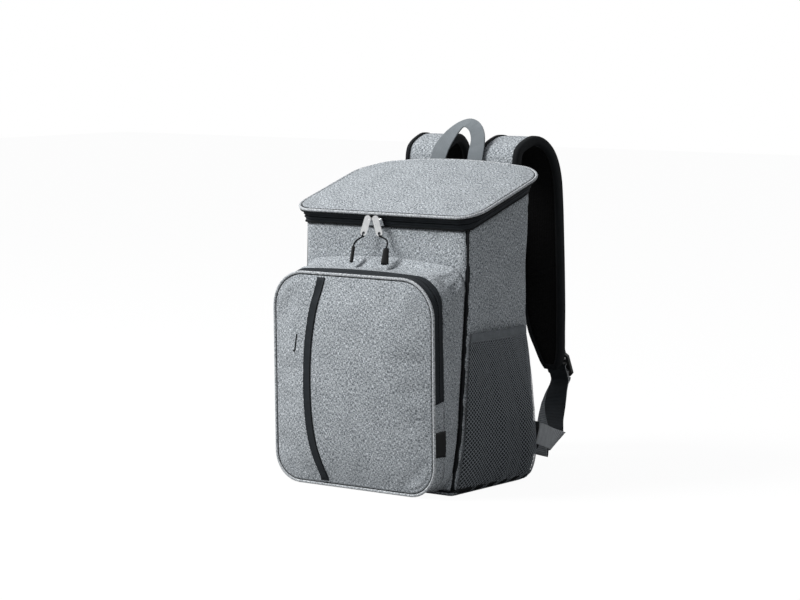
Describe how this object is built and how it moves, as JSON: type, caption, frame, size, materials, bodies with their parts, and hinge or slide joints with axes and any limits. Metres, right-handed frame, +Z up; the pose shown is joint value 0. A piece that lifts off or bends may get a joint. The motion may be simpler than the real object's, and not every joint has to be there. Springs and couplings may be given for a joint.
{
  "type": "cooler backpack",
  "caption": "Upright cooler backpack with padded walls, a sloping zipped lid, a zipped front pocket, side net pockets, a carry handle and padded shoulder straps.",
  "frame": {"origin": "middle of the base, on the floor", "axes": "+Z up, the front with its pocket towards -Y, the straps towards +Y, +X to the right seen from the front"},
  "size_m": [0.3196, 0.3804, 0.5002],
  "materials": {
    "fabric_grey": "heather woven cloth",
    "piping_grey": "self-fabric piping",
    "tape_black": "matt woven tape",
    "net_grey": "open knitted net",
    "webbing_grey": "ribbed webbing",
    "webbing_black": "ribbed webbing",
    "plastic_black": "moulded, satin",
    "metal_silver": "bright plated"
  },
  "bodies": {
    "root": {"back_panel": "fabric_grey", "base_panel": "fabric_grey", "body_zip_tape": "tape_black", "carry_handle": "webbing_grey", "front_panel": "fabric_grey", "front_zip_strip": "tape_black", "label_tag": "plastic_black", "ladder_lock_left": "plastic_black", "ladder_lock_right": "plastic_black", "lid_hinge": "fabric_grey", "lid_panel": "fabric_grey", "lid_piping": "piping_grey", "lid_zip_coil": "tape_black", "lid_zip_tape": "tape_black", "lock_loop_left": "webbing_black", "lock_loop_right": "webbing_black", "mesh_pocket_left": "net_grey", "mesh_pocket_right": "net_grey", "pocket_elastic_left": "webbing_grey", "pocket_elastic_right": "webbing_grey", "pocket_gusset_lower": "fabric_grey", "pocket_gusset_rear": "fabric_grey", "pocket_panel": "fabric_grey", "pocket_piping": "piping_grey", "pocket_zip_coil": "tape_black", "pocket_zip_slider": "metal_silver", "pocket_zip_tape_front": "tape_black", "pocket_zip_tape_rear": "tape_black", "pull_cord_left": "webbing_black", "pull_cord_right": "webbing_black", "pull_grip_left": "plastic_black", "pull_grip_right": "plastic_black", "seam_piping_left": "tape_black", "seam_piping_right": "tape_black", "side_panel_left": "fabric_grey", "side_panel_right": "fabric_grey", "strap_anchor_left": "tape_black", "strap_anchor_right": "tape_black", "strap_binding_left": "webbing_black", "strap_binding_right": "webbing_black", "strap_cover_left": "fabric_grey", "strap_cover_right": "fabric_grey", "strap_pad_left": "tape_black", "strap_pad_right": "tape_black", "strap_web_left": "webbing_black", "strap_web_right": "webbing_black", "zip_pull_left": "metal_silver", "zip_pull_right": "metal_silver", "zip_slider_left": "metal_silver", "zip_slider_right": "metal_silver"}
  },
  "joints": []
}
